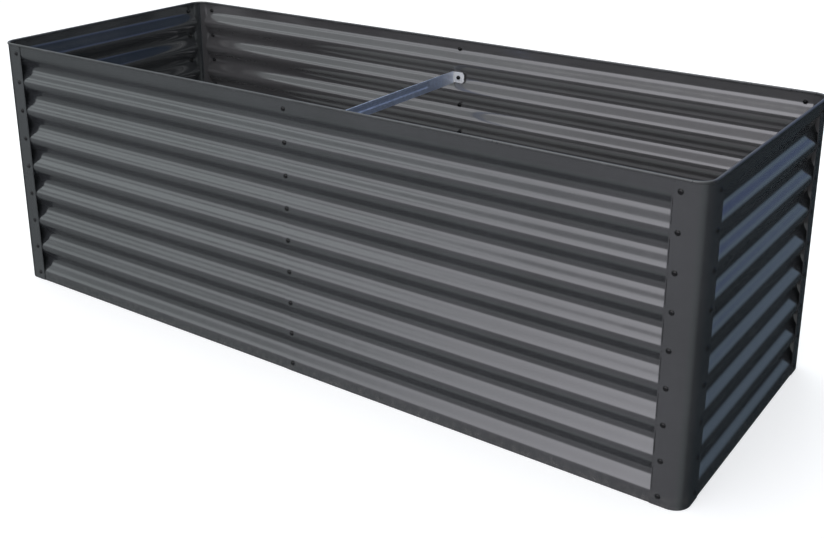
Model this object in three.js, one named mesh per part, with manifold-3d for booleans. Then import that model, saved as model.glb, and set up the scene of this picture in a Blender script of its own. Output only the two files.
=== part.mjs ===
// Raised garden bed: corrugated coated steel sheets bolted behind four rolled corner posts,
// with a slim edging pushed over the top edge and one galvanised brace across the middle.
// Millimetres, +Z up. The bed stands on z = 0, its long front faces -Y and the origin is
// the middle of its footprint.

import * as THREE from 'three';
import { mergeVertices } from 'three/addons/utils/BufferGeometryUtils.js';
import Module from 'manifold-3d';

const wasm = await Module();
wasm.setup();

// The bed, across the outer faces of its posts
const bedLength = 2180;
const bedWidth = 804;

// Corrugated sheets: level waves stacked up the wall, with a bolt on every crest
const sheetThickness = 0.8;
const wavePitch = 87;
const waveDepth = 19;
const waveCount = 8;
const waveFacets = 10; // an even count puts one flat facet on every crest and every trough
const bottomMargin = 23; // flat stretch from the lower edge to the lowest crest's bolt
const topMargin = 26.2; // flat stretch from the highest crest's bolt to the upper edge
const sheetEndMargin = 20; // sheet past its outermost column of bolts

// Corner posts, each one strip rolled round a quarter turn
const postThickness = 1.2;
const postLeg = 78; // from the corner to the free edge, along each side
const postRadius = 40; // outside of the rolled corner
const postBoltInset = 60; // from the corner to the column of bolts
const cornerFacets = 8;

// Bolts and nuts
const boltDiameter = 6;
const headDiameter = 13;
const headCrownDiameter = 7.4;
const headHeight = 3.4;
const headSides = 8;
const nutAcrossFlats = 10;
const nutThickness = 5;
const boltEnd = 1.5; // thread that shows past the nut
const hexSides = 6;

// Edging, a U-shaped strip pushed down over the posts and sheets
const edgingWall = 1.5;
const edgingGrip = 3.7; // how far its two legs reach down past the upper edge
const edgingRound = 2.4; // outer corners of its back
const roundFacets = 2;

// Cross brace, a flat strip on edge with both ends turned square into bolting tabs
const braceThickness = 2.5;
const braceHeight = 36.5;
const braceBend = 3; // inside of the two bends
const braceBelowTop = 1; // bolt rows between the brace and the highest row
const tabWidth = 37;
const tabShoulder = 1.75; // the tabs are this much lower than the strip, above and below
const tabChamfer = 6;
const bendFacets = 4;

// Stiffening groove pressed along the brace
const grooveWidth = 16;
const grooveDepth = 4;
const grooveSlope = 3; // how far each side wall leans in over the depth
const grooveRise = 4; // groove's middle above the strip's middle
const grooveEndMargin = 141; // plain strip left at each end

// Clearance between pieces that touch
const fitGap = 0.3;

// Worked-out sizes of the sheets
const sheetHeight = bottomMargin + waveCount * wavePitch + topMargin;
const longSheetLength = bedLength / 2 - postBoltInset + 2 * sheetEndMargin;
const endSheetLength = bedWidth - 2 * postBoltInset + 2 * sheetEndMargin;
const crestInset = postThickness + fitGap; // from the bed's outer face in to the sheets' crests

const up = new THREE.Vector3(0, 0, 1);
const along = new THREE.Vector3(1, 0, 0);
const inward = new THREE.Vector3(0, 1, 0);

const coatedSteel = { color: 0x4b4c4f, roughness: 0.42, metalness: 0.35 };
const blackSteel = { color: 0x1d1e20, roughness: 0.4, metalness: 0.6 };
const galvanisedSteel = { color: 0x858c97, roughness: 0.45, metalness: 0.85 };
const edgingVinyl = { color: 0x4a4b4e, roughness: 0.3, metalness: 0.0 };

const gardenBed = new THREE.Group();

function boltHeight(row) {
  return bottomMargin + row * wavePitch;
}

function addPiece(parent, name, geometry, finish) {
  const material = new THREE.MeshStandardMaterial({ ...finish, flatShading: true });
  const piece = new THREE.Mesh(geometry, material);
  piece.name = name;
  parent.add(piece);
  return piece;
}

// A group that turns and moves the pieces put in it
function addFrame(parent, x, y, z, turn) {
  const frame = new THREE.Group();
  frame.position.set(x, y, z);
  frame.rotation.z = turn;
  parent.add(frame);
  return frame;
}

// Closed mesh to boolean solid, and back
function toSolid(geometry) {
  const bare = geometry.clone();
  bare.deleteAttribute('normal');
  bare.deleteAttribute('uv');
  const merged = mergeVertices(bare);
  const vertProperties = new Float32Array(merged.attributes.position.array);
  const triVerts = new Uint32Array(merged.index.array);
  return new wasm.Manifold(new wasm.Mesh({ numProp: 3, vertProperties, triVerts }));
}

function toGeometry(solid) {
  const mesh = solid.getMesh();
  const geometry = new THREE.BufferGeometry();
  geometry.setAttribute('position', new THREE.BufferAttribute(mesh.vertProperties, 3));
  geometry.setIndex(new THREE.BufferAttribute(mesh.triVerts, 1));
  geometry.computeVertexNormals();
  return geometry;
}

// Straight extrusion of an outline, from -length / 2 to length / 2 along `direction`.
// An arc gets two facets for every curve segment asked for.
function prism(outline, length, across, upward, direction, arcFacets = 2) {
  const options = { depth: length, bevelEnabled: false, curveSegments: arcFacets / 2 };
  const geometry = new THREE.ExtrudeGeometry(outline, options);
  geometry.translate(0, 0, -length / 2);
  return geometry.applyMatrix4(new THREE.Matrix4().makeBasis(across, upward, direction));
}

// ---- Corrugated sheets ----

// Outer face of a sheet as (depth inside the crests, height), from its lower edge to its upper.
// A cosine wave is sampled at the edges of its facets and stretched to keep its full depth.
function waveLine() {
  const halfFacet = Math.PI / waveFacets;
  const line = [new THREE.Vector2(0, 0)];
  for (let edge = 0; edge < waveCount * waveFacets; edge += 1) {
    const phase = (2 * edge + 1) * halfFacet;
    const depth = (waveDepth / 2) * (1 - Math.cos(phase) / Math.cos(halfFacet));
    line.push(new THREE.Vector2(depth, boltHeight(phase / (2 * Math.PI))));
  }
  line.push(new THREE.Vector2(0, sheetHeight));
  return line;
}

// The same line moved square to itself by `distance`, into the bed
function offsetLine(line, distance) {
  const normals = [];
  for (let index = 1; index < line.length; index += 1) {
    const run = line[index].clone().sub(line[index - 1]).normalize();
    normals.push(new THREE.Vector2(run.y, -run.x));
  }
  return line.map((point, index) => {
    const before = normals[Math.max(index - 1, 0)];
    const after = normals[Math.min(index, normals.length - 1)];
    const mitre = before.clone().add(after).multiplyScalar(distance / (1 + before.dot(after)));
    return point.clone().add(mitre);
  });
}

function steepestLean(line) {
  let lean = 0;
  for (let index = 1; index < line.length; index += 1) {
    const run = line[index].clone().sub(line[index - 1]);
    lean = Math.max(lean, Math.abs(Math.atan2(run.x, run.y)));
  }
  return lean;
}

function depthAt(line, height) {
  const next = line.findIndex((point) => point.y > height);
  const low = line[next - 1];
  const high = line[next];
  return low.x + ((high.x - low.x) * (height - low.y)) / (high.y - low.y);
}

const outerFace = waveLine();
const innerFace = offsetLine(outerFace, sheetThickness);

// How far inside a crest's inner face a flat piece comes to rest, when it reaches `half` above
// and below the bolt and so bridges the hollow of the wave
function bridgeDepth(half) {
  const middle = boltHeight(1);
  return depthAt(innerFace, middle + half) - sheetThickness;
}

// Two sheets nest at the seam: the inner one sits in by this much, so that the steepest walls
// of their waves just clear each other
const nestShift = (sheetThickness + fitGap) / Math.cos(steepestLean(outerFace));
const nestRun = longSheetLength - 2 * sheetEndMargin; // from the inner sheet's post end to the lap
const nestLean = Math.atan(nestShift / nestRun);

// Depth of the inner sheet's inner crest face below the bed's outer face, `distance` along it
function nestedFace(distance) {
  return crestInset + distance * Math.tan(nestLean) + sheetThickness;
}

// Clearance hole through whatever lies between `from` and `to`, along Y
function boltHole(from, to) {
  return hexPrism(boltDiameter / 2 + fitGap / Math.cos(Math.PI / hexSides), from, to);
}

// A sheet centred on its length, crests on y = 0, with a column of holes near each end
function corrugatedSheet(length) {
  const outline = new THREE.Shape([...outerFace, ...innerFace.slice().reverse()]);
  let sheet = toSolid(prism(outline, length, inward, up, along));
  const hole = boltHole(-sheetThickness, 2 * sheetThickness);
  for (const side of [-1, 1]) {
    for (let row = 0; row <= waveCount; row += 1) {
      const column = side * (length / 2 - sheetEndMargin);
      sheet = sheet.subtract(hole.translate([column, 0, boltHeight(row)]));
    }
  }
  return toGeometry(sheet);
}

// One long side: the outer sheet hangs square, the inner one leans in from its post to the seam
function addLongSide(turn, outerName, innerName) {
  const side = addFrame(gardenBed, 0, 0, 0, turn);
  const postEnd = bedLength / 2 - postBoltInset + sheetEndMargin;
  const crestPlane = crestInset - bedWidth / 2;
  const square = addFrame(side, postEnd, crestPlane, 0, 0);
  const leaning = addFrame(side, -postEnd, crestPlane, 0, nestLean);
  addPiece(square, outerName, corrugatedSheet(longSheetLength), coatedSteel).position.x = -longSheetLength / 2;
  addPiece(leaning, innerName, corrugatedSheet(longSheetLength), coatedSteel).position.x = longSheetLength / 2;
}

function addEndSheet(turn, name) {
  const frame = addFrame(gardenBed, 0, 0, 0, turn);
  const sheet = addPiece(frame, name, corrugatedSheet(endSheetLength), coatedSteel);
  sheet.position.y = crestInset - bedLength / 2;
}

// ---- Bolts and nuts, all along Y with the head towards -Y and its seat on y = 0 ----

function boltHead() {
  const head = new THREE.CylinderGeometry(headDiameter / 2, headCrownDiameter / 2, headHeight, headSides);
  return toSolid(head.translate(0, -headHeight / 2, 0));
}

function hexPrism(radius, from, to) {
  const flatsUp = Math.PI / hexSides;
  const hex = new THREE.CylinderGeometry(radius, radius, to - from, hexSides, 1, false, flatsUp);
  return toSolid(hex.translate(0, (from + to) / 2, 0));
}

// Head and shank in one, with the shank's root inside the head
function boltBlank(reach) {
  return boltHead().add(hexPrism(boltDiameter / 2, -headHeight / 2, reach));
}

function nutBlank(seat) {
  return hexPrism(nutAcrossFlats / 2 / Math.cos(Math.PI / hexSides), seat, seat + nutThickness);
}

function looseBolt(nutSeat) {
  return toGeometry(boltBlank(nutSeat + nutThickness + boltEnd));
}

function looseNut(nutSeat) {
  return toGeometry(nutBlank(nutSeat).subtract(boltHole(nutSeat - fitGap, nutSeat + nutThickness + fitGap)));
}

// ---- Corner posts ----

// Section of the post at the +X +Y corner, with that sharp corner of the bed at its origin
function postSection() {
  const section = new THREE.Shape();
  const innerRadius = postRadius - postThickness;
  section.moveTo(-postLeg, -postThickness);
  section.lineTo(-postRadius, -postThickness);
  section.absarc(-postRadius, -postRadius, innerRadius, Math.PI / 2, 0, true);
  section.lineTo(-postThickness, -postLeg);
  section.lineTo(0, -postLeg);
  section.lineTo(0, -postRadius);
  section.absarc(-postRadius, -postRadius, postRadius, 0, Math.PI / 2, false);
  section.lineTo(-postLeg, 0);
  return section;
}

// A tightened bolt: head, shank and cap nut in one, clamping a sheet behind the post
function tightBolt() {
  const nutSeat = crestInset + sheetThickness + bridgeDepth(nutAcrossFlats / 2) + fitGap;
  return boltBlank(nutSeat + nutThickness / 2).add(nutBlank(nutSeat));
}

function cornerPost() {
  const strip = prism(postSection(), sheetHeight, along, inward, up, cornerFacets);
  let post = toSolid(strip.translate(0, 0, sheetHeight / 2));
  const bolt = tightBolt();
  for (let row = 0; row <= waveCount; row += 1) {
    const onBack = bolt.rotate([0, 0, 180]).translate([-postBoltInset, 0, boltHeight(row)]);
    const onEnd = bolt.rotate([0, 0, 90]).translate([0, -postBoltInset, boltHeight(row)]);
    post = post.add(onBack).add(onEnd);
  }
  return toGeometry(post);
}

function addPosts() {
  const quarter = Math.PI / 2;
  const corners = [
    ['back_right_post', 1, 1, 0],
    ['back_left_post', -1, 1, quarter],
    ['front_left_post', -1, -1, 2 * quarter],
    ['front_right_post', 1, -1, 3 * quarter],
  ];
  for (const [name, sideX, sideY, turn] of corners) {
    const frame = addFrame(gardenBed, (sideX * bedLength) / 2, (sideY * bedWidth) / 2, 0, turn);
    addPiece(frame, name, cornerPost(), coatedSteel);
  }
}

// ---- Seam fasteners, one column in the middle of each long side ----

const seamFace = nestedFace(longSheetLength - sheetEndMargin);
const tabFace = seamFace + bridgeDepth(braceHeight / 2 - tabShoulder) + fitGap;
const braceRow = waveCount - braceBelowTop;

// Nuts draw up on the inner sheet, but on the brace's tab where that is clamped too
function seamNutSeat(row) {
  const plainSeat = seamFace + bridgeDepth(nutAcrossFlats / 2) + fitGap;
  const seat = row === braceRow ? tabFace + braceThickness + fitGap : plainSeat;
  return seat - crestInset + fitGap;
}

function addSeamFasteners(turn, sideName) {
  const side = addFrame(gardenBed, 0, 0, 0, turn);
  const headSeat = crestInset - fitGap - bedWidth / 2;
  for (let row = 0; row <= waveCount; row += 1) {
    const frame = addFrame(side, 0, headSeat, boltHeight(row), 0);
    addPiece(frame, `${sideName}_seam_bolt_${row + 1}`, looseBolt(seamNutSeat(row)), blackSteel);
    addPiece(frame, `${sideName}_seam_nut_${row + 1}`, looseNut(seamNutSeat(row)), blackSteel);
  }
}

// ---- Edging ----

// U section as (distance out from the posts' outer face, height). Its slot is wide enough for
// a post over a sheet, and for the two sheets where they lap.
function edgingSection() {
  const slotOut = fitGap;
  const slotIn = -nestedFace(longSheetLength) - fitGap;
  const slotTop = sheetHeight + fitGap;
  const foot = sheetHeight - edgingGrip;
  const back = slotTop + edgingWall;
  const section = new THREE.Shape();
  section.moveTo(slotOut, foot);
  section.lineTo(slotOut + edgingWall, foot);
  section.absarc(slotOut + edgingWall - edgingRound, back - edgingRound, edgingRound, 0, Math.PI / 2, false);
  section.absarc(slotIn - edgingWall + edgingRound, back - edgingRound, edgingRound, Math.PI / 2, Math.PI, false);
  section.lineTo(slotIn - edgingWall, foot);
  section.lineTo(slotIn, foot);
  section.lineTo(slotIn, slotTop);
  section.lineTo(slotOut, slotTop);
  return section.extractPoints(roundFacets / 2).shape;
}

// Places round the posts' outer faces with the outward direction at each, anticlockwise from the
// butt joint in the middle of the back
function edgingStations() {
  const stations = [{ x: -fitGap / 2, y: bedWidth / 2, turn: Math.PI / 2 }];
  const corners = [[-1, 1], [-1, -1], [1, -1], [1, 1]];
  corners.forEach(([sideX, sideY], corner) => {
    const centreX = sideX * (bedLength / 2 - postRadius);
    const centreY = sideY * (bedWidth / 2 - postRadius);
    for (let step = 0; step <= cornerFacets; step += 1) {
      const turn = (Math.PI / 2) * (corner + 1 + step / cornerFacets);
      const x = centreX + postRadius * Math.cos(turn);
      const y = centreY + postRadius * Math.sin(turn);
      stations.push({ x, y, turn });
    }
  });
  stations.push({ x: fitGap / 2, y: bedWidth / 2, turn: Math.PI / 2 });
  return stations;
}

function edging() {
  const section = edgingSection();
  const stations = edgingStations();
  const positions = [];
  const triangles = [];
  for (const { x, y, turn } of stations) {
    for (const point of section) {
      positions.push(x + point.x * Math.cos(turn), y + point.x * Math.sin(turn), point.y);
    }
  }
  const count = section.length;
  for (let station = 1; station < stations.length; station += 1) {
    for (let index = 0; index < count; index += 1) {
      const next = (index + 1) % count;
      const here = station * count;
      const before = here - count;
      triangles.push(here + index, here + next, before + next);
      triangles.push(here + index, before + next, before + index);
    }
  }
  const last = (stations.length - 1) * count;
  for (const [a, b, c] of THREE.ShapeUtils.triangulateShape(section, [])) {
    triangles.push(a, b, c);
    triangles.push(last + a, last + c, last + b);
  }
  const geometry = new THREE.BufferGeometry();
  geometry.setAttribute('position', new THREE.Float32BufferAttribute(positions, 3));
  geometry.setIndex(triangles);
  geometry.computeVertexNormals();
  return geometry;
}

// ---- Cross brace ----

const braceLength = bedWidth - 2 * tabFace;

// Plan of the brace as one bent strip: a tab, the long web at its -X side, and the other tab
function bracePlan() {
  const outerBend = braceBend + braceThickness;
  const low = -tabWidth / 2;
  const high = tabWidth / 2;
  const end = braceLength / 2;
  const bendX = low + outerBend;
  const bendY = end - outerBend;
  const plan = new THREE.Shape();
  plan.moveTo(high, end - braceThickness);
  plan.lineTo(high, end);
  plan.lineTo(bendX, end);
  plan.absarc(bendX, bendY, outerBend, Math.PI / 2, Math.PI, false);
  plan.lineTo(low, -bendY);
  plan.absarc(bendX, -bendY, outerBend, Math.PI, 1.5 * Math.PI, false);
  plan.lineTo(high, -end);
  plan.lineTo(high, braceThickness - end);
  plan.lineTo(bendX, braceThickness - end);
  plan.absarc(bendX, -bendY, braceBend, 1.5 * Math.PI, Math.PI, true);
  plan.lineTo(low + braceThickness, bendY);
  plan.absarc(bendX, bendY, braceBend, Math.PI, Math.PI / 2, true);
  return plan;
}

// What is trimmed off above both tabs and their bends: the shoulder and the chamfered corner
function tabTrim() {
  const free = tabWidth / 2;
  const top = braceHeight / 2 - tabShoulder;
  const clear = braceHeight;
  const outline = new THREE.Shape();
  outline.moveTo(-free - clear, top);
  outline.lineTo(-free - clear, clear);
  outline.lineTo(free + clear, clear);
  outline.lineTo(free + clear, top - tabChamfer - clear);
  outline.lineTo(free - tabChamfer, top);
  const trim = toSolid(prism(outline, 2 * (braceBend + braceThickness), along, up, inward.clone().negate()));
  return trim.translate([0, braceLength / 2, 0]).add(trim.translate([0, -braceLength / 2, 0]));
}

// The pressing as a tapered block that reaches from the web's face into it, towards -X
function pressedBlock(face) {
  const length = braceLength - 2 * grooveEndMargin;
  const block = new THREE.BoxGeometry(grooveDepth, length, grooveWidth);
  const corners = block.attributes.position;
  for (let index = 0; index < corners.count; index += 1) {
    if (corners.getX(index) < 0) {
      corners.setY(index, corners.getY(index) * (1 - (2 * grooveSlope) / length));
      corners.setZ(index, corners.getZ(index) * (1 - (2 * grooveSlope) / grooveWidth));
    }
  }
  return toSolid(block.translate(face - grooveDepth / 2, 0, grooveRise));
}

function crossBrace() {
  const webBack = -tabWidth / 2;
  const strip = toSolid(prism(bracePlan(), braceHeight, along, inward, up, bendFacets));
  const trim = tabTrim();
  const hole = boltHole(-braceLength, braceLength);
  const brace = strip
    .add(pressedBlock(webBack))
    .subtract(pressedBlock(webBack + braceThickness))
    .subtract(trim)
    .subtract(trim.mirror([0, 0, 1]))
    .subtract(hole);
  return toGeometry(brace);
}

addLongSide(0, 'front_right_panel', 'front_left_panel');
addLongSide(Math.PI, 'back_left_panel', 'back_right_panel');
addEndSheet(Math.PI / 2, 'right_end_panel');
addEndSheet(-Math.PI / 2, 'left_end_panel');
addPosts();
addSeamFasteners(0, 'front');
addSeamFasteners(Math.PI, 'back');
addPiece(gardenBed, 'top_edging', edging(), edgingVinyl);
addPiece(gardenBed, 'cross_brace', crossBrace(), galvanisedSteel).position.z = boltHeight(braceRow);

export default gardenBed;
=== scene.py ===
import bmesh
import bpy
from math import atan, cos, exp, pi, radians, sin, tan
from mathutils import Matrix, Vector, noise


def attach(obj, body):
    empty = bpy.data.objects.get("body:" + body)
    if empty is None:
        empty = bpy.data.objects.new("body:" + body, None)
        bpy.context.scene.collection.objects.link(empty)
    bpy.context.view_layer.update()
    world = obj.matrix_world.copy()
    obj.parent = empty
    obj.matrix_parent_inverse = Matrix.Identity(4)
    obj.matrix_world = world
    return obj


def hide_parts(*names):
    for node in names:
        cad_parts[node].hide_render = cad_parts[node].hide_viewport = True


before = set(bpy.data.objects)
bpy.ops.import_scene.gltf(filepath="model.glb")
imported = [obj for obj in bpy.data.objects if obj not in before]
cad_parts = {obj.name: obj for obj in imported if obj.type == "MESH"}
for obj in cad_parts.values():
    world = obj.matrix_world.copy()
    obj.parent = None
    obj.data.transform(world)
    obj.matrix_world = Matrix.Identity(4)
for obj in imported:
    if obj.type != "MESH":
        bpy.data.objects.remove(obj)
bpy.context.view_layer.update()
print("frame loaded")

# The bed in metres, as it is in the CAD; every piece below is built on these
bed = {
    "length": 2.18,  # across the outer faces of the posts
    "width": 0.804,
    "height": 0.7452,
    "pitch": 0.087,
    "waveDepth": 0.019,
    "waves": 8,
    "lowBolt": 0.023,  # lowest bolt above the ground
    "sheet": 0.0008,
    "post": 0.0012,
    "boltInset": 0.06,  # from the corner of the bed to the column of bolts
    "overlap": 0.02,  # sheet past its outermost bolts
    "gap": 0.0003,
    "nestSpare": 0.0001,  # more room where one sheet lies in the other
}
boltRows = [bed["lowBolt"] + row * bed["pitch"] for row in range(bed["waves"] + 1)]
crestInset = bed["post"] + bed["gap"]
halfTurn = pi


class Wire:
    # one output socket, so that maths on it reads as maths
    def __init__(self, tree, socket):
        self.tree = tree
        self.socket = socket

    def maths(self, operation, first, second=None):
        made = self.tree.nodes.new("ShaderNodeMath")
        made.operation = operation
        for slot, value in enumerate((first, second)):
            if isinstance(value, Wire):
                self.tree.links.new(value.socket, made.inputs[slot])
            elif value is not None:
                made.inputs[slot].default_value = value
        return Wire(self.tree, made.outputs[0])

    def __add__(self, other):
        return self.maths("ADD", self, other)

    __radd__ = __add__

    def __mul__(self, other):
        return self.maths("MULTIPLY", self, other)

    __rmul__ = __mul__

    def __sub__(self, other):
        return self.maths("SUBTRACT", self, other)

    def __rsub__(self, other):
        return self.maths("SUBTRACT", other, self)

    def __truediv__(self, other):
        return self.maths("DIVIDE", self, other)

    def __pow__(self, other):
        return self.maths("POWER", self, other)

    def __neg__(self):
        return 0 - self

    def __abs__(self):
        return self.maths("ABSOLUTE", self)

    def atLeast(self, least):
        return self.maths("MAXIMUM", self, least)


class Finish:
    # a new material, or a world's nodes, and one way to add any node but maths
    def __init__(self, name, tree=None):
        if tree is None:
            self.material = bpy.data.materials.new(name)
            self.material.use_nodes = True
            tree = self.material.node_tree
            self.shader = tree.nodes["Principled BSDF"]
        self.tree = tree

    def put(self, node, sockets):
        for key, value in sockets.items():
            target = node.inputs[key]
            if isinstance(value, Wire):
                self.tree.links.new(value.socket, target)
            else:
                target.default_value = value

    def add(self, kind, settings, sockets, out=0):
        made = self.tree.nodes.new("ShaderNode" + kind)
        for key, value in settings.items():
            setattr(made, key, value)
        self.put(made, sockets)
        return Wire(self.tree, made.outputs[out])

    def place(self):
        return self.add("TexCoord", {}, {}, "Object")

    def noise(self, scale, detail, stretch=None):
        where = self.place()
        if stretch is not None:
            where = self.add("VectorMath", {"operation": "MULTIPLY"}, {0: where, 1: stretch})
        return self.add("TexNoise", {}, {"Vector": where, "Scale": scale, "Detail": detail})

    def ramp(self, value, low, high):
        settings = {"interpolation_type": "SMOOTHSTEP"}
        return self.add("MapRange", settings, {"Value": value, "From Min": low, "From Max": high})

    def blendColours(self, factor, first, second):
        return self.add("Mix", {"data_type": "RGBA"}, {0: factor, 6: first, 7: second}, 2)

    def bump(self, height, strength, distance, under=None):
        sockets = {"Height": height, "Strength": strength, "Distance": distance}
        if under is not None:
            sockets["Normal"] = under
        return self.add("Bump", {}, sockets)

    def noiseBump(self, scale, strength, depth, under=None):
        return self.bump(self.noise(scale, 2), strength, depth, under)


def shade(red, green, blue):
    return (red, green, blue, 1)


steelLook = {
    "plain": shade(0.027, 0.029, 0.031),
    "worn": shade(0.034, 0.036, 0.039),
    "paintedLitCoat": (shade(0.07, 0.068, 0.07), shade(0.08, 0.078, 0.08)),  # painted light: paler copy of the coat inside the long sides, which face the main light
    "blotches": 3.2,  # scales of the noise, as are grain and runs
    "grain": 46,
    "runs": 20,
    "runStretch": (1, 1, 0.07),
    "wear": (0.38, 0.64),
    "dust": shade(0.09, 0.085, 0.08),
    "dustRise": (0.002, 0.05),  # dust thins out between these heights
    "dustGrain": 60,
    "dustPatches": (0.42, 0.72),
    "dustCover": 0.5,
    "gloss": 0.1,
    "grainDulls": 0.05,  # what grain, wear and dust add to the roughness
    "wearDulls": 0.03,
    "dustDulls": 0.3,
    "bend": 1.65,  # index of refraction of the hard metallic coat
    "swell": (11, 0.22, 0.002),  # scale, strength and depth of the sheet's slow unevenness
    "peel": (820, 0.03, 0.0001),  # the same of the coating's orange peel
}


def coatedSteel(name, plain, rubbed):
    look = steelLook
    made = Finish(name)
    broad = made.noise(look["blotches"], 4)
    fine = made.noise(look["grain"], 5)
    runs = made.noise(look["runs"], 3, look["runStretch"])
    height = made.add("SeparateXYZ", {}, {0: made.place()}, "Z")
    low = 1 - made.ramp(height, *look["dustRise"])
    dust = low * made.ramp(made.noise(look["dustGrain"], 6), *look["dustPatches"]) * look["dustCover"]
    worn = made.ramp(broad * 0.6 + fine * 0.25 + runs * 0.15, *look["wear"])
    colour = made.blendColours(worn, plain, rubbed)
    rough = look["gloss"] + fine * look["grainDulls"]
    rough = rough + worn * look["wearDulls"] + dust * look["dustDulls"]
    made.put(made.shader, {
        "Base Color": made.blendColours(dust, colour, look["dust"]),
        "Roughness": rough,
        "Specular IOR Level": 1.0,
        "IOR": look["bend"],
        "Normal": made.noiseBump(*look["peel"], made.noiseBump(*look["swell"])),
    })
    return made.material


galvanisedLook = {
    # zinc grey, tinted blue as a painted reflection of the blue sky
    "pale": shade(0.54, 0.63, 0.84),
    "deep": shade(0.46, 0.54, 0.73),
    "spangle": 130,  # crystals to a metre
    "warp": 60,
    "mix": (0.2, 0.85),
    "rub": 420,  # fine scratches along the strip
    "rubStretch": (1, 0.04, 1),
    "metallic": 0.88,
    "gloss": 0.34,
    "tabs": shade(0.88, 0.885, 0.895),  # painted light: near-white on the bolting tabs, which face the main light
    "tabsFrom": (0.383, 0.387),  # it sets in between these distances from the middle
    "paintedLitFadeFrom": (0.3, 0.39),  # painted light, half as strong, on the strip before the tabs
}


def galvanisedSteel():
    look = galvanisedLook
    made = Finish("galvanisedSteel")
    warp = made.noise(look["warp"], 2)
    flakes = made.add("TexVoronoi", {}, {"Vector": made.place(), "Scale": look["spangle"]}, "Color")
    tone = made.add("SeparateColor", {}, {0: flakes}, 0)
    rub = made.noise(look["rub"], 3, look["rubStretch"])
    mix = made.ramp(tone * 0.55 + warp * 0.45, *look["mix"])
    across = abs(made.add("SeparateXYZ", {}, {0: made.place()}, "Y"))
    # painted light near-white on the tabs and fainter before them; the tabs also lose most of their metal
    # shine
    tabs = made.ramp(across, *look["tabsFrom"])
    zinc = made.blendColours(mix, look["deep"], look["pale"])
    zinc = made.blendColours(made.ramp(across, *look["paintedLitFadeFrom"]) * 0.5, zinc, look["tabs"])
    made.put(made.shader, {
        "Base Color": made.blendColours(tabs * (0.8 + 0.2 * tone), zinc, look["tabs"]),
        "Metallic": look["metallic"] - tabs * 0.7,
        "Roughness": look["gloss"] + tone * 0.1 + rub * 0.06,
        "Normal": made.bump(rub + tone * 0.5, 0.06, 0.0003),
    })
    return made.material


boltLook = {
    "black": shade(0.0035, 0.0035, 0.004),
    "rubbed": shade(0.018, 0.0185, 0.02),
    "grain": 900,
    "patches": 170,
    "wear": (0.52, 0.74),
    "gloss": 0.1,
    "shine": 0.4,
}


def blackSteel():
    look = boltLook
    made = Finish("blackSteel")
    grain = made.noise(look["grain"], 4)
    patch = made.noise(look["patches"], 3)
    worn = made.ramp(patch * 0.7 + grain * 0.3, *look["wear"])
    made.put(made.shader, {
        "Base Color": made.blendColours(worn, look["black"], look["rubbed"]),
        "Specular IOR Level": look["shine"],
        "Roughness": look["gloss"] + worn * 0.14,
        "Normal": made.bump(grain, 0.12, 0.0002),
    })
    return made.material


edgingLook = {
    "plain": shade(0.03, 0.031, 0.033),
    "scuffed": shade(0.055, 0.056, 0.06),
    "grain": 150,
    "scuffs": 34,
    "scuffPatches": (0.5, 0.75),
    "gloss": 0.26,
}


def edgingVinyl():
    look = edgingLook
    made = Finish("edgingVinyl")
    drawn = made.noise(look["grain"], 3)
    scuff = made.ramp(made.noise(look["scuffs"], 6), *look["scuffPatches"])
    made.put(made.shader, {
        "Base Color": made.blendColours(scuff, look["plain"], look["scuffed"]),
        "Roughness": look["gloss"] + scuff * 0.12 + drawn * 0.04,
        "Specular IOR Level": 1.0,
        "Normal": made.bump(drawn, 0.1, 0.0004),
    })
    return made.material


steel = coatedSteel("coatedSteel", steelLook["plain"], steelLook["worn"])
# painted light: a paler copy of the coat for inner faces that face the main light
paintedLitSteel = coatedSteel("coatedSteelPaintedLit", *steelLook["paintedLitCoat"])
galvanised = galvanisedSteel()
fastenerBlack = blackSteel()
vinyl = edgingVinyl()
print("finishes made")


def makePiece(name, points, faces, finish, slotName, nodes, crease=32, paintedLitFaces=()):
    mesh = bpy.data.meshes.new(name)
    mesh.from_pydata(points, [], faces)
    work = bmesh.new()
    work.from_mesh(mesh)
    bmesh.ops.remove_doubles(work, verts=work.verts, dist=1e-7)
    bmesh.ops.recalc_face_normals(work, faces=work.faces)
    work.to_mesh(mesh)
    work.free()
    mesh.shade_smooth()
    mesh.set_sharp_from_angle(angle=radians(crease))
    mesh.materials.append(finish)
    # the listed inner faces get the paler copy of the coat, painted light
    if paintedLitFaces:
        mesh.materials.append(paintedLitSteel)
        for index in paintedLitFaces:
            mesh.polygons[index].material_index = 1
    piece = bpy.data.objects.new(name, mesh)
    bpy.context.scene.collection.objects.link(piece)
    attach(piece, "root")
    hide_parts(*nodes)
    return piece


def shell(outer, inner):
    # closed thin sheet between two grids of points of the same shape
    rows, columns = len(outer), len(outer[0])
    half = rows * columns
    points = [point for grid in (outer, inner) for row in grid for point in row]
    faces = []
    for r in range(rows - 1):
        for c in range(columns - 1):
            a, b = r * columns + c, (r + 1) * columns + c
            faces.append((a, a + 1, b + 1, b))
            faces.append((half + a, half + b, half + b + 1, half + a + 1))
    rim = [r * columns for r in range(rows)]
    rim += [(rows - 1) * columns + c for c in range(1, columns)]
    rim += [r * columns + columns - 1 for r in range(rows - 2, -1, -1)]
    rim += [c for c in range(columns - 2, 0, -1)]
    for a, b in zip(rim, rim[1:] + rim[:1]):
        faces.append((a, b, half + b, half + a))
    return points, faces


def insideFaces(grid, columns):
    # places of the inner faces of a shell, in the given columns of its grid
    across = len(grid[0]) - 1
    return [2 * (row * across + column) + 1 for row in range(len(grid) - 1) for column in columns]


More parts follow.
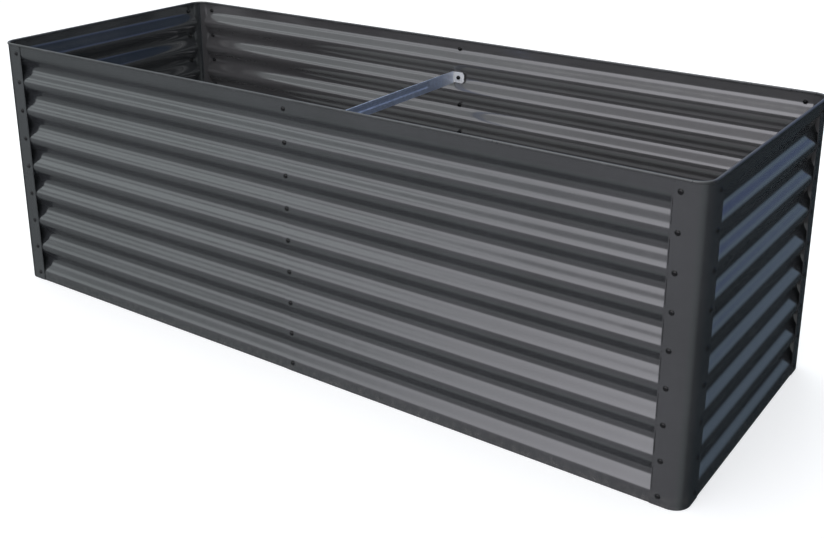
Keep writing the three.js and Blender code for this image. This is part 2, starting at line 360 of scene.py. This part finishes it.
def lathe(profile, segments, radiusAt=None):
    # turned shape about the Y axis from (radius, y) pairs, its two end rings closed by flat caps
    points, faces = [], []
    for radius, y in profile:
        for step in range(segments):
            angle = 2 * pi * step / segments
            r = radius if radiusAt is None else radiusAt(radius, angle)
            points.append((r * sin(angle), y, r * cos(angle)))
    for ring in range(len(profile) - 1):
        for step in range(segments):
            after = (step + 1) % segments
            a, b = ring * segments, (ring + 1) * segments
            faces.append((a + step, a + after, b + after, b + step))
    last = (len(profile) - 1) * segments
    faces.append(tuple(range(segments)))
    faces.append(tuple(last + step for step in range(segments)))
    return points, faces


def gather(parts):
    # several (points, faces, matrix) as one mesh
    points, faces = [], []
    for somePoints, someFaces, matrix in parts:
        start = len(points)
        points += [matrix @ Vector(point) for point in somePoints]
        faces += [tuple(start + index for index in face) for face in someFaces]
    return points, faces


def turned(x, y, z, turn):
    return (x * cos(turn) - y * sin(turn), x * sin(turn) + y * cos(turn), z)


sheetLook = {
    "perWave": 26,  # segments in one wave
    "stations": 30,  # even columns along a long sheet
    "dimple": 0.0005,  # how far a tight bolt pulls the crest in
    "dimpleSize": 0.0085,
    "clear": 0.017,  # even columns keep this far from a bolt
    "sway": 0.00012,  # slow unevenness of the rolled sheet
    "swayScale": (7, 4, 3),  # of the noise along, up and from wall to wall
    "swayFade": 4,
}
aroundBolt = (-0.016, -0.011, -0.0075, -0.005, -0.0025, 0, 0.0025, 0.005, 0.0075, 0.011, 0.016)


def profileHeights():
    heights = [0, bed["lowBolt"] * 0.5]
    count = bed["waves"] * sheetLook["perWave"]
    for step in range(count + 1):
        heights.append(bed["lowBolt"] + bed["waves"] * bed["pitch"] * step / count)
    heights += [(heights[-1] + bed["height"]) / 2, bed["height"]]
    return heights


def waveAt(height):
    # depth inside the crests, and the lean of the face there
    phase = 2 * pi * (height - bed["lowBolt"]) / bed["pitch"]
    if phase < 0 or phase > 2 * pi * bed["waves"]:
        return 0, 0
    depth = bed["waveDepth"] / 2 * (1 - cos(phase))
    slope = bed["waveDepth"] / 2 * sin(phase) * 2 * pi / bed["pitch"]
    return depth, atan(slope)


def dimpleAt(along, height, columns, size, depth):
    nearest = min(abs(along - column) for column in columns)
    above = min(abs(height - row) for row in boltRows)
    return depth * exp(-(nearest * nearest + above * above) / (size * size))


def swayAt(along, height, share, turn):
    # share runs from 0 at one end of the sheet to 1 at the other, where the sway dies out
    look = sheetLook
    middle = max(0, 1 - abs(2 * share - 1) ** look["swayFade"])
    where = Vector([scale * value for scale, value in zip(look["swayScale"], (along, height, turn))])
    return look["sway"] * middle * noise.noise(where)


def sheetStations(start, end, columns):
    look = sheetLook
    count = max(8, round(look["stations"] * (end - start) / longSheet))
    even = {start + (end - start) * step / count for step in range(count + 1)}
    kept = {s for s in even if min(abs(s - column) for column in columns) > look["clear"]}
    around = {column + away for column in columns for away in aroundBolt}
    return sorted(kept | around | (even & {start, end}))  # the sheet's own ends always stay


def corrugated(name, start, end, plane, turn, lean=0, paintLitInside=True):
    look = sheetLook
    columns = [start + bed["overlap"], end - bed["overlap"]]
    stations = sheetStations(start, end, columns)
    pivot = start if lean > 0 else end
    outer, inner = [], []
    for height in profileHeights():
        depth, tilt = waveAt(height)
        thickness, drop = bed["sheet"] * cos(tilt), bed["sheet"] * sin(tilt)
        outerRow, innerRow = [], []
        for along in stations:
            y = plane + depth + swayAt(along, height, (along - start) / (end - start), turn)
            y += dimpleAt(along, height, columns, look["dimpleSize"], look["dimple"])
            y += abs(along - pivot) * tan(abs(lean))
            outerRow.append(turned(along, y, height, turn))
            innerRow.append(turned(along, y + thickness, height - drop, turn))
        outer.append(outerRow)
        inner.append(innerRow)
    points, faces = shell(outer, inner)
    # painted light: the long sheets' inner faces get the paler coat, the ends' do not
    paintedLitFaces = insideFaces(outer, range(len(outer[0]) - 1)) if paintLitInside else ()
    return makePiece(name + "_sheet", points, faces, steel, "coated_steel", [name], paintedLitFaces=paintedLitFaces)


steepest = atan(pi * bed["waveDepth"] / bed["pitch"])
nestShift = (bed["sheet"] + bed["gap"]) / cos(steepest) + bed["nestSpare"]
postEnd = bed["length"] / 2 - bed["boltInset"] + bed["overlap"]
longSheet = postEnd + bed["overlap"]
nestLean = atan(nestShift / (postEnd - bed["overlap"]))
sidePlane = crestInset - bed["width"] / 2
endPlane = crestInset - bed["length"] / 2
endReach = bed["width"] / 2 - bed["boltInset"] + bed["overlap"]

corrugated("front_right_panel", -bed["overlap"], postEnd, sidePlane, 0)
corrugated("front_left_panel", -postEnd, bed["overlap"], sidePlane, 0, nestLean)
corrugated("back_left_panel", -bed["overlap"], postEnd, sidePlane, halfTurn)
corrugated("back_right_panel", -postEnd, bed["overlap"], sidePlane, halfTurn, nestLean)
corrugated("right_end_panel", -endReach, endReach, endPlane, halfTurn / 2, paintLitInside=False)
corrugated("left_end_panel", -endReach, endReach, endPlane, -halfTurn / 2, paintLitInside=False)
print("sheets made")


postLook = {
    "leg": 0.078,
    "legLast": 0.0745,  # last column of points before the edge of the leg
    "radius": 0.04,
    "arc": 20,
    "dimple": 0.00035,
    "dimpleSize": 0.009,
}


def postPath():
    # (place, outward, distance from the corner along the leg) round the outer face of the +X +Y post
    look = postLook
    leg = [look["leg"], look["legLast"]] + [bed["boltInset"] - away for away in aroundBolt]
    path = [((-d, 0), (0, 1), d) for d in leg]
    centre = look["radius"]
    for step in range(look["arc"] + 1):
        angle = pi / 2 * (1 - step / look["arc"])
        outward = (cos(angle), sin(angle))
        path.append(((centre * (outward[0] - 1), centre * (outward[1] - 1)), outward, 0))
    path += [((0, -d), (1, 0), d) for d in reversed(leg)]
    return path


def cornerPost(name, sideX, sideY, turn):
    look = postLook
    heights = {0, bed["height"]}
    for row in boltRows:
        heights |= {row + away for away in aroundBolt}
    outer, inner = [], []
    for height in sorted(h for h in heights if 0 <= h <= bed["height"]):
        outerRow, innerRow = [], []
        for (x, y), (outX, outY), leg in postPath():
            pressed = dimpleAt(leg, height, [bed["boltInset"]], look["dimpleSize"], look["dimple"])
            for row, back in ((outerRow, pressed), (innerRow, pressed + bed["post"])):
                px, py, pz = turned(x - outX * back, y - outY * back, height, turn)
                row.append((sideX * bed["length"] / 2 + px, sideY * bed["width"] / 2 + py, pz))
        outer.append(outerRow)
        inner.append(innerRow)
    points, faces = shell(outer, inner)
    middle = len(outer[0]) // 2
    longSide = range(middle) if sideX == sideY else range(middle, len(outer[0]) - 1)
    # painted light: the post's inner faces on the long side get the paler coat
    paintedLitFaces = insideFaces(outer, longSide)
    return makePiece(name + "_strip", points, faces, steel, "coated_steel", [name], paintedLitFaces=paintedLitFaces)


fastenerLook = {
    "shank": 0.003,
    "shankTip": 0.7,  # share of the shank left at its end
    "thread": 0.00034,
    "threadPitch": 0.0008,
    "threadInside": 0.001,  # where the thread starts inside the nut, and where it stops before the end
    "threadStop": 0.0012,
    "threadTip": 0.0002,
    "head": 0.0065,
    "headHeight": 0.0034,
    "headFoot": 0.98,  # share of the head's radius that rests on the steel
    "dome": 0.84,  # share of the head's height that curves
    "domeReach": 0.97,  # and of its radius
    "domeSteps": 8,
    "domeShape": (2.3, 0.62),
    "brim": (0.00035, 0.0001),  # top and foot of the head's upright edge
    "nutHalf": 0.005,  # half across the flats
    "nut": 0.005,
    "pastNut": 0.0015,
    "nutBevel": (0.97, 1.03, 1.2),  # radii of the bevelled corners, in halves across the flats
    "nutBevelRise": (0.0003, 0.0008),
    "hole": 0.0004,  # bevel round the hole
    "flange": 0.0062,
    "flangeHeights": (0.0005, 0.0011, 0.0018),
    "segments": 24,
    "axis": 0.00001,  # radius that stands for the axis
    "sink": 0.9,  # share of the dimple that a bolt head follows
}


def boltMesh(seat):
    look = fastenerLook
    shank, head, axis = look["shank"], look["head"], look["axis"]
    root = shank - look["thread"]
    swell, close = look["domeShape"]
    profile = []
    for step in range(look["domeSteps"] + 1):
        part = step / look["domeSteps"]
        fall = look["dome"] * (1 - (1 - part ** swell) ** close)
        profile.append((axis + head * look["domeReach"] * part, look["headHeight"] * (fall - 1)))
    top, foot = look["brim"]
    profile += [(head, -top), (head, -foot), (head * look["headFoot"], 0), (shank, 0)]
    end = seat + look["nut"] + look["pastNut"]
    ring = seat + look["nut"] - look["threadInside"]
    profile.append((shank, ring))
    while ring < end - look["threadStop"]:
        profile += [(root, ring + look["threadPitch"] / 2), (shank, ring + look["threadPitch"])]
        ring += look["threadPitch"]
    profile += [(root, end - look["threadTip"]), (shank * look["shankTip"], end), (axis, end)]
    return lathe(profile, look["segments"])


def nutMesh(seat):
    look = fastenerLook
    half, bevel, flange = look["nutHalf"], look["hole"], look["flange"]

    def hexed(radius, angle):
        if radius < half * 0.9 or radius == flange:
            return radius
        away = (angle + pi / 6) % (pi / 3) - pi / 6
        return min(half / cos(away), radius)

    end = seat + look["nut"]
    hole = look["shank"] + bed["gap"] / 2
    near, wide, corner = (half * share for share in look["nutBevel"])
    rise, fall = look["nutBevelRise"]
    foot, top, shoulder = look["flangeHeights"]
    profile = [(hole, seat + bevel), (hole + bevel, seat), (near, seat), (wide, seat + rise)]
    profile += [(flange, seat + foot), (flange, seat + top), (corner, seat + shoulder)]
    profile += [(corner, end - fall), (wide, end - rise)]
    profile += [(near, end), (hole + bevel, end), (hole, end - bevel)]
    count = look["segments"]
    points, faces = lathe(profile, count, hexed)
    faces = faces[:-2]  # open the two caps and line the hole instead
    last = (len(profile) - 1) * count
    for step in range(count):
        after = (step + 1) % count
        faces.append((last + step, last + after, after, step))
    return points, faces


def bridgeDepth(reach):
    # how far inside the crest's inner face a flat piece rests that reaches this far up and down
    depth, tilt = waveAt(boltRows[1] + reach)
    return depth + bed["sheet"] / cos(tilt) - bed["sheet"]


nutRest = bridgeDepth(fastenerLook["nutHalf"]) + bed["gap"]
posts = [
    ("back_right_post", 1, 1, 0),
    ("back_left_post", -1, 1, halfTurn / 2),
    ("front_left_post", -1, -1, halfTurn),
    ("front_right_post", 1, -1, -halfTurn / 2),
]
postSeat = crestInset + bed["sheet"] + nutRest
for name, sideX, sideY, turn in posts:
    cornerPost(name, sideX, sideY, turn)
    corner = Matrix.Translation((sideX * bed["length"] / 2, sideY * bed["width"] / 2, 0))
    corner = corner @ Matrix.Rotation(turn, 4, "Z")
    boltParts, nutParts = [], []
    for row in boltRows:
        for x, y, facing in ((-bed["boltInset"], 0, halfTurn), (0, -bed["boltInset"], halfTurn / 2)):
            place = corner @ Matrix.Translation((x, y, row)) @ Matrix.Rotation(facing, 4, "Z")
            sunk = place @ Matrix.Translation((0, postLook["dimple"] * fastenerLook["sink"], 0))
            boltParts.append((*boltMesh(postSeat), sunk))
            nutParts.append((*nutMesh(postSeat), place))
    makePiece(name + "_bolts", *gather(boltParts), fastenerBlack, "fasteners", [name])
    makePiece(name + "_nuts", *gather(nutParts), fastenerBlack, "fasteners", [name])
print("posts and their bolts made")


braceLook = {
    "row": 7,  # the row of bolts that holds it, from the ground up
    "thickness": 0.0025,
    "height": 0.0365,
    "bend": 0.003,  # inside of the bends
    "bendSteps": 8,
    "tab": 0.037,
    "tabStations": (0.006, -0.004),
    "shoulder": 0.00175,
    "chamfer": 0.006,
    "webInset": 0.0004,
    "webSteps": 120,
    "levelGap": 0.0001,  # least height between two lines of points
    "grooveWidth": 0.016,
    "grooveDepth": 0.004,
    "grooveSlope": 0.003,
    "grooveRise": 0.004,
    "grooveMargin": 0.141,
    "crease": 38,
}
seamFace = crestInset + (bed["length"] / 2 - bed["boltInset"]) * tan(nestLean) + bed["sheet"]
tabFace = seamFace + bridgeDepth(braceLook["height"] / 2 - braceLook["shoulder"]) + bed["gap"]
for turn, side in ((0, "front"), (halfTurn, "back")):
    wall = Matrix.Rotation(turn, 4, "Z") @ Matrix.Translation((0, bed["post"] - bed["width"] / 2, 0))
    for row, height in enumerate(boltRows):
        seat = seamFace + nutRest - bed["post"]
        if row == braceLook["row"]:
            seat = tabFace + braceLook["thickness"] + bed["gap"] - bed["post"]
        place = wall @ Matrix.Translation((0, 0, height))
        sunk = place @ Matrix.Translation((0, sheetLook["dimple"] * fastenerLook["sink"] + bed["gap"], 0))
        bolt = side + "_seam_bolt_" + str(row + 1)
        nut = side + "_seam_nut_" + str(row + 1)
        makePiece(bolt + "_round", *gather([(*boltMesh(seat), sunk)]), fastenerBlack, "fasteners", [bolt])
        makePiece(nut + "_hex", *gather([(*nutMesh(seat), place)]), fastenerBlack, "fasteners", [nut])
print("seam bolts made")


def bracePath():
    # (place, outward, half height) along the outer face of the bent strip, front tab first
    look = braceLook
    halfTab, chamfer = look["tab"] / 2, look["chamfer"]
    end = bed["width"] / 2 - tabFace
    outerBend = look["bend"] + look["thickness"]
    full, low = look["height"] / 2, look["height"] / 2 - look["shoulder"]
    tab = [(halfTab, low - chamfer), (halfTab - chamfer / 2, low - chamfer / 2), (halfTab - chamfer, low)]
    tab += [(x, low) for x in look["tabStations"]]
    path = [((x, -end), (0, -1), top) for x, top in tab]
    for step in range(look["bendSteps"] + 1):
        angle = 1.5 * pi - pi / 2 * step / look["bendSteps"]
        outward = (cos(angle), sin(angle))
        x = outerBend - halfTab + outerBend * outward[0]
        path.append(((x, outerBend - end + outerBend * outward[1]), outward, low))
    mirrored = [((x, -y), (outX, -outY), top) for (x, y), (outX, outY), top in path]
    web = end - outerBend - look["webInset"]
    for step in range(look["webSteps"] + 1):
        path.append(((-halfTab, 2 * web * step / look["webSteps"] - web), (-1, 0), full))
    return path + mirrored[::-1]


def grooveAt(y, z):
    look = braceLook
    end = bed["width"] / 2 - tabFace - look["grooveMargin"]
    inside = min(end - abs(y), look["grooveWidth"] / 2 - abs(z - look["grooveRise"]))
    part = min(1, max(0, inside / look["grooveSlope"]))
    return look["grooveDepth"] * part * part * (3 - 2 * part)


def crossBrace():
    look = braceLook
    middle, least = boltRows[look["row"]], look["levelGap"]
    rise, wide = look["grooveRise"], look["grooveWidth"] / 2
    edges = [wide - look["grooveSlope"] * k / 4 for k in range(5)]
    lines = sorted([rise] + [rise + side * edge for side in (-1, 1) for edge in edges])
    outer, inner = [], []
    for (x, y), (outX, outY), top in bracePath():
        levels = [-top + (lines[0] + top) * k / 3 for k in range(3)] + lines
        levels += [lines[-1] + (top - lines[-1]) * k / 2 for k in (1, 2)]
        last = len(levels) - 1
        levels = [min(max(z, least * n - top), top - least * (last - n)) for n, z in enumerate(levels)]
        outerRow, innerRow = [], []
        for z in levels:
            pushed = grooveAt(y, z) if outX == -1 else 0
            back = pushed - look["thickness"]
            outerRow.append((x + outX * pushed, y, middle + z))
            innerRow.append((x + outX * back, y - outY * look["thickness"], middle + z))
        outer.append(outerRow)
        inner.append(innerRow)
    points, faces = shell(outer, inner)
    brace = "cross_brace"
    return makePiece(brace + "_strip", points, faces, galvanised, "galvanised", [brace], look["crease"])


crossBrace()
print("brace made")


edgingParts = {
    "wall": 0.0015,
    "grip": 0.0037,
    "round": 0.0024,
    "roundSteps": 6,
    "tip": 0.0005,  # rounding of the two lips
    "corner": 20,
    "straight": 0.05,  # distance between stations on the straights
    "ripple": 0.00012,
    "rippleScale": 5,
}


def edgingOutline():
    look = edgingParts
    wall, roundOff, tip = look["wall"], look["round"], look["tip"]
    slotOut = bed["gap"]
    slotIn = -(crestInset + longSheet * tan(nestLean) + bed["sheet"]) - bed["gap"]
    slotTop = bed["height"] + bed["gap"]
    foot = bed["height"] - look["grip"]
    top = slotTop + wall - roundOff
    outline = [(slotOut, foot + tip), (slotOut + tip, foot), (slotOut + wall - tip, foot)]
    outline.append((slotOut + wall, foot + tip))
    for centre, first in ((slotOut + wall - roundOff, 0), (slotIn - wall + roundOff, pi / 2)):
        for step in range(look["roundSteps"] + 1):
            angle = first + pi / 2 * step / look["roundSteps"]
            outline.append((centre + roundOff * cos(angle), top + roundOff * sin(angle)))
    outline += [(slotIn - wall, foot + tip), (slotIn - wall + tip, foot), (slotIn - tip, foot)]
    outline += [(slotIn, foot + tip), (slotIn, slotTop), (slotOut, slotTop)]
    return outline


def edgingStations():
    # places round the posts' outer faces from the butt joint behind, with the outward direction
    look = edgingParts
    radius = postLook["radius"]
    halfLong, halfWide = bed["length"] / 2, bed["width"] / 2
    stops = [(-bed["gap"] / 2, halfWide, pi / 2)]
    for corner, (sideX, sideY) in enumerate(((-1, 1), (-1, -1), (1, -1), (1, 1))):
        for step in range(look["corner"] + 1):
            turn = pi / 2 * (corner + 1 + step / look["corner"])
            x = sideX * (halfLong - radius) + radius * cos(turn)
            y = sideY * (halfWide - radius) + radius * sin(turn)
            stops.append((x, y, turn))
    stops.append((bed["gap"] / 2, halfWide, pi / 2 * 5))
    stations = [stops[0]]
    for (x1, y1, _), (x2, y2, t2) in zip(stops, stops[1:]):
        parts = max(1, int(Vector((x2 - x1, y2 - y1)).length / look["straight"]))
        for part in range(1, parts + 1):
            k = part / parts
            stations.append((x1 + (x2 - x1) * k, y1 + (y2 - y1) * k, t2))
    return stations


def topEdging():
    look = edgingParts
    outline = edgingOutline()
    points, faces = [], []
    count = len(outline)
    stations = edgingStations()
    for index, (x, y, turn) in enumerate(stations):
        lift = look["ripple"] * noise.noise(Vector((x, y, 0)) * look["rippleScale"])
        for out, z in outline:
            points.append((x + out * cos(turn), y + out * sin(turn), z + min(lift, 0)))
        if index:
            a, b = (index - 1) * count, index * count
            faces += [(a + n, a + (n + 1) % count, b + (n + 1) % count, b + n) for n in range(count)]
    last = (len(stations) - 1) * count
    faces += [tuple(range(count)), tuple(last + n for n in range(count))]
    return makePiece("top_edging_strip", points, faces, vinyl, "edging", ["top_edging"])


topEdging()
print("edging made")


stageLook = {
    "floor": shade(0.85, 0.85, 0.85),
    "floorWhite": 0.46,  # lifts the floor to white for what looks at it
    "floorReach": 40,  # from the middle to each edge
    "wallReach": 39,
    "wallHeights": (-0.5, 60),
    "wallSides": 48,
    "overhead": 200,  # watts
    "overheadSize": 7,
    "overheadHeight": 6,
}
black, white = shade(0, 0, 0), shade(1, 1, 1)


def flatPiece(name, points, faces, finish):
    mesh = bpy.data.meshes.new(name)
    mesh.from_pydata(points, [], faces)
    mesh.materials.append(finish)
    made = bpy.data.objects.new(name, mesh)
    bpy.context.scene.collection.objects.link(made)
    return made


def paleFloor():
    look = stageLook
    made = Finish("paleFloor")
    rays = ("Is Camera Ray", "Is Glossy Ray", "Is Transmission Ray")
    camera, glossy, through = (made.add("LightPath", {}, {}, ray) for ray in rays)
    made.put(made.shader, {
        "Base Color": look["floor"],
        "Roughness": 0.9,
        "Specular IOR Level": 0.0,
        "Emission Color": made.blendColours(camera + glossy + through, black, white),
        "Emission Strength": look["floorWhite"],
    })
    made.material.cycles.emission_sampling = "NONE"
    far = look["floorReach"]
    corners = [(-far, -far, 0), (far, -far, 0), (far, far, 0), (-far, far, 0)]
    floor = flatPiece("studioFloor", corners, [(0, 1, 2, 3)], made.material)
    floor.visible_glossy = False  # the steel mirrors the studio below the horizon instead


def backdrop():
    # white all round for the camera, so that the light itself stays out of the picture
    look = stageLook
    made = Finish("paleBackdrop")
    made.put(made.shader, {"Base Color": black, "Emission Color": white, "Emission Strength": 1})
    made.material.cycles.emission_sampling = "NONE"
    far, sides = look["wallReach"], look["wallSides"]
    points = []
    for height in look["wallHeights"]:
        for side in range(sides):
            angle = 2 * pi * side / sides
            points.append((far * sin(angle), far * cos(angle), height))
    faces = [(k, (k + 1) % sides, sides + (k + 1) % sides, sides + k) for k in range(sides)]
    faces.append(tuple(range(sides, 2 * sides)))
    wall = flatPiece("studioBackdrop", points, faces, made.material)
    wall.visible_glossy = wall.visible_diffuse = False
    wall.visible_shadow = wall.visible_transmission = False


# The studio by direction: front, right and height are parts of a direction, up is the height
# at which it meets a plane one metre in front of the bed's middle. Pairs are where a change
# starts and ends
skyLook = {
    "tints": (shade(0.92, 1, 1.02), shade(1.01, 1, 1.07)),  # of the light from the sides and the front
    "tintFront": (0.6, 0.95),
    "sky": 0.3,  # even light from all round above the horizon
    "ground": (0.5, 0.2),  # what the ground sends back in front, and how that grows with height
    "groundSpread": (1.7, 0.95),
    "below": 0.08,  # what is added straight below
    "belowDepth": (0.45, 0.75),
    "least": 0.05,  # smallest front that is divided by or raised to a power
    "panel": (0.55, 1.35),  # tall panel of light in front: its ends, and what its middle adds
    "panelPower": 6,
    "panelFront": (0, 0.1),
    "panelHigh": (0.62, 0.95),
    "panelFoot": (-0.05, 0.2),
    "panelTop": (0.88, 0.95),
    "topBow": 0.12,  # how much lower the top runs straight ahead
    "topBowFront": (0.7, 0.95),
    "topDim": 0.72,
    "seam": (0.5, 0.58, 0.66, 0.74),  # dark seam across the panel
    "seamDim": 0.6,
    "seamFront": (0.74, 0.86),  # seam and ridge end before the middle of the panel
    "ridge": 0.5,  # brighter strip over the seam
    "behind": 0.5,  # paler sky high up, behind on the left
    "highSky": (0.2, 0.4),
    "rightward": (-0.4, 0),
    "dusk": (shade(0.014, 0.021, 0.025), shade(0.27, 0.37, 0.49), shade(0.14, 0.2, 0.42)),
    "duskTowards": (0.26, 0.97),  # shares of right and back: the dim side, its colours from the ground up
    "duskEdge": (0.25, 0.95),
    "duskHigh": (0.6, 0.85),
    "duskHeights": ((-0.17, 0.07), (0.07, 0.15), (0.3, 0.42)),
    "night": shade(0.02, 0.045, 0.1),  # over the dusk
}


def panelLight(made, front, up, height):
    look = skyLook
    low, lower, upper, high = look["seam"]
    ends, added = look["panel"]
    lined = 1 - made.ramp(front, *look["seamFront"])
    seam = made.ramp(up, low, lower) * (1 - made.ramp(up, upper, high)) * lined
    ridge = made.ramp(up, upper, high) * lined * look["ridge"]
    top = made.ramp(up + look["topBow"] * made.ramp(front, *look["topBowFront"]), *look["panelTop"])
    middle = front.atLeast(look["least"]) ** look["panelPower"]
    panel = (ends + added * middle) * (1 + ridge) * (1 - look["topDim"] * top) * (1 - look["seamDim"] * seam)
    return panel * made.ramp(front, *look["panelFront"]) * (1 - made.ramp(height, *look["panelHigh"]))


def groundLight(made, front, height):
    look = skyLook
    start, growth = look["ground"]
    wide, narrow = look["groundSpread"]
    near = front.atLeast(look["least"])
    glow = (start + growth * height) * near * (wide - narrow * near)
    return glow + look["below"] * made.ramp(-height, *look["belowDepth"])


def eveningColour(made, height):
    look = skyLook
    ground, horizon, above = look["dusk"]
    colour = ground
    for heights, following in zip(look["duskHeights"], (horizon, above, look["night"])):
        colour = made.blendColours(made.ramp(height, *heights), colour, following)
    return colour


def studioWorld():
    look = skyLook
    world = bpy.data.worlds.new("studio")
    world.use_nodes = True
    made = Finish("studio", world.node_tree)
    towards = made.add("TexCoord", {}, {}, "Generated")
    level = made.add("VectorMath", {"operation": "MULTIPLY"}, {0: towards, 1: (1, 1, 0)})
    level = made.add("VectorMath", {"operation": "NORMALIZE"}, {0: level})
    height = made.add("SeparateXYZ", {}, {0: towards}, "Z")
    right = made.add("SeparateXYZ", {}, {0: level}, "X")
    front = -made.add("SeparateXYZ", {}, {0: level}, "Y")
    ahead = -made.add("SeparateXYZ", {}, {0: towards}, "Y")
    up = height / ahead.atLeast(look["least"])
    leftward = 1 - made.ramp(right, *look["rightward"])
    highUp = made.ramp(height, *look["highSky"])
    behind = look["behind"] * highUp * (1 - made.ramp(front, *look["panelFront"])) * leftward
    sky = look["sky"] + panelLight(made, front, up, height) + behind
    foot = made.ramp(up, *look["panelFoot"])
    main = groundLight(made, front, height) * (1 - foot) + sky * foot
    rightShare, backShare = look["duskTowards"]
    dusk = made.ramp(right * rightShare - front * backShare, *look["duskEdge"])
    dusk = dusk * (1 - made.ramp(height, *look["duskHigh"])) * (1 - highUp * leftward)
    strength = main * (1 - dusk) + dusk
    tint = made.blendColours(made.ramp(front, *look["tintFront"]), *look["tints"])
    colour = made.blendColours(dusk / strength, tint, eveningColour(made, height))
    made.put(world.node_tree.nodes["Background"], {"Color": colour, "Strength": strength})
    bpy.context.scene.world = world


def overheadSoftbox():
    look = stageLook
    lamp = bpy.data.lights.new("overheadSoftbox", "AREA")
    lamp.shape = "RECTANGLE"
    lamp.size = lamp.size_y = look["overheadSize"]
    lamp.energy = look["overhead"]
    light = bpy.data.objects.new("overheadSoftbox", lamp)
    light.location = (0, 0, look["overheadHeight"])
    light.visible_camera = False
    bpy.context.scene.collection.objects.link(light)


overheadSoftbox()
paleFloor()
backdrop()
studioWorld()

cameraView = {
    "place": (1.8011, -2.4026, 1.4814),
    "azimuth": 34.286,
    "down": 18.197,
    "roll": 0.182,
    "sensor": 36,
    "lens": 49.642,
    "shift": (-0.0221, -0.1396),
}


def addCamera():
    look = cameraView
    azimuth, down, roll = (radians(look[key]) for key in ("azimuth", "down", "roll"))
    ahead = Vector((-sin(azimuth) * cos(down), cos(azimuth) * cos(down), -sin(down)))
    level = ahead.cross(Vector((0, 0, 1))).normalized()
    rise = level.cross(ahead)
    right = cos(roll) * level + sin(roll) * rise
    rise = -sin(roll) * level + cos(roll) * rise
    data = bpy.data.cameras.new("photoCamera")
    data.sensor_width = look["sensor"]
    data.lens = look["lens"]
    data.shift_x, data.shift_y = look["shift"]
    camera = bpy.data.objects.new("photoCamera", data)
    turn = Matrix((right, rise, -ahead)).transposed().to_4x4()
    camera.matrix_world = Matrix.Translation(look["place"]) @ turn
    bpy.context.scene.collection.objects.link(camera)
    bpy.context.scene.camera = camera


addCamera()
bpy.context.scene.view_settings.view_transform = "Standard"
print("stage, light and camera made")
